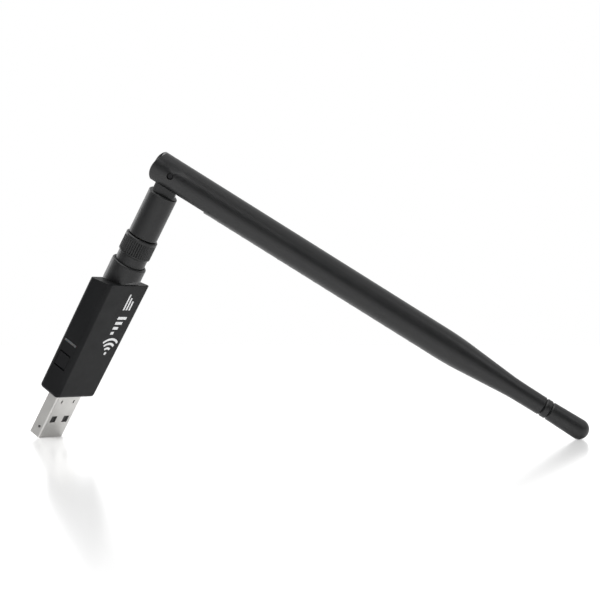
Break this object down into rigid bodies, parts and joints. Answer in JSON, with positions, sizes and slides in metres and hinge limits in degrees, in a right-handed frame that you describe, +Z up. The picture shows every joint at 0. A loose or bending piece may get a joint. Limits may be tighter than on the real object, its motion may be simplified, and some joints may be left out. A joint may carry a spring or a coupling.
{
  "type": "usb wireless adapter",
  "caption": "USB wireless network stick with a pairing key and a screw-on omnidirectional antenna that swivels and folds at a pinned hinge.",
  "frame": {"origin": "middle of the USB plug's open end", "axes": "+Z up and +X to the right as the adapter leans on its plug edge and antenna tip with the antenna folded; the stick rises towards +X and -Y from the plug"},
  "size_m": [0.1803, 0.0397, 0.0912],
  "materials": {
    "case_plastic": "satin",
    "antenna_plastic": "satin",
    "button_plastic": "satin",
    "hinge_plastic": "satin",
    "nickel": "satin nickel",
    "dark_nickel": "satin",
    "black_nylon": "satin",
    "white_nylon": "satin",
    "gold": "polished",
    "board_green": "satin",
    "chip_black": "matte",
    "tin": "satin",
    "ferrite": "matte",
    "ceramic_tan": "matte",
    "lamp_clear": "clear",
    "light_grey_plastic": "frosted",
    "fluoropolymer": "satin",
    "cable_jacket": "satin",
    "copper": "polished",
    "foam": "matte"
  },
  "bodies": {
    "dongle": {"front_shell": "case_plastic", "back_cover": "case_plastic", "usb_shell": "nickel", "usb_insulator": "black_nylon", "usb_contacts": "gold", "circuit_board": "board_green", "rf_shield": "tin", "wifi_chip": "chip_black", "crystal": "tin", "flash_chip": "chip_black", "voltage_regulator": "chip_black", "power_inductor": "ferrite", "chip_capacitors": "ceramic_tan", "status_led": "lamp_clear", "light_pipe": "light_grey_plastic", "switch_body": "tin", "antenna_collar": "case_plastic", "jack_body": "gold", "jack_insulator": "fluoropolymer", "jack_pin": "gold", "jack_washer": "gold", "jack_nut": "gold"},
    "button": {"pairing_button": "button_plastic", "switch_plunger": "white_nylon"},
    "connector": {"plug_core": "gold", "plug_insulator": "fluoropolymer", "plug_socket": "gold", "snap_ring": "tin"},
    "nut": {"coupling_nut": "antenna_plastic"},
    "base": {"swivel_base": "antenna_plastic", "hinge_tongue": "hinge_plastic", "hinge_pin": "dark_nickel", "coax_lower": "cable_jacket"},
    "blade": {"antenna_blade": "antenna_plastic", "tip_cap": "antenna_plastic", "coax_upper": "cable_jacket", "sleeve_radiator": "copper", "radiator_wire": "copper", "phasing_coil": "copper", "foam_spacers": "foam"}
  },
  "joints": [
    {"name": "button_press", "type": "slide", "parent": "dongle", "child": "button", "axis": [0.5476, 0.8368, 0], "range_m": [0, 0.0003], "stiffness_N_per_m": 2000, "springref_m": -0.0002},
    {"name": "antenna_unscrew", "type": "slide", "parent": "dongle", "child": "connector", "axis": [0.4422, -0.2894, 0.849], "range_m": [0, 0.00353]},
    {"name": "nut_turn", "type": "hinge", "parent": "connector", "child": "nut", "pos_m": [0.03308, -0.02164, 0.0635], "axis": [0.4422, -0.2894, 0.849], "range_deg": [0, 1800]},
    {"name": "base_swivel", "type": "hinge", "parent": "connector", "child": "base", "pos_m": [0.03308, -0.02164, 0.0635], "axis": [0.4422, -0.2894, 0.849], "range_deg": [-175, 175]},
    {"name": "antenna_fold", "type": "hinge", "parent": "base", "child": "blade", "pos_m": [0.04287, -0.02831, 0.08317], "axis": [0.0864, 0.9559, 0.2808], "range_deg": [-95.5, 8]}
  ],
  "couplings": [
    {"joint": "nut_turn", "follows": "antenna_unscrew", "rad_per_m": 8905.3}
  ]
}
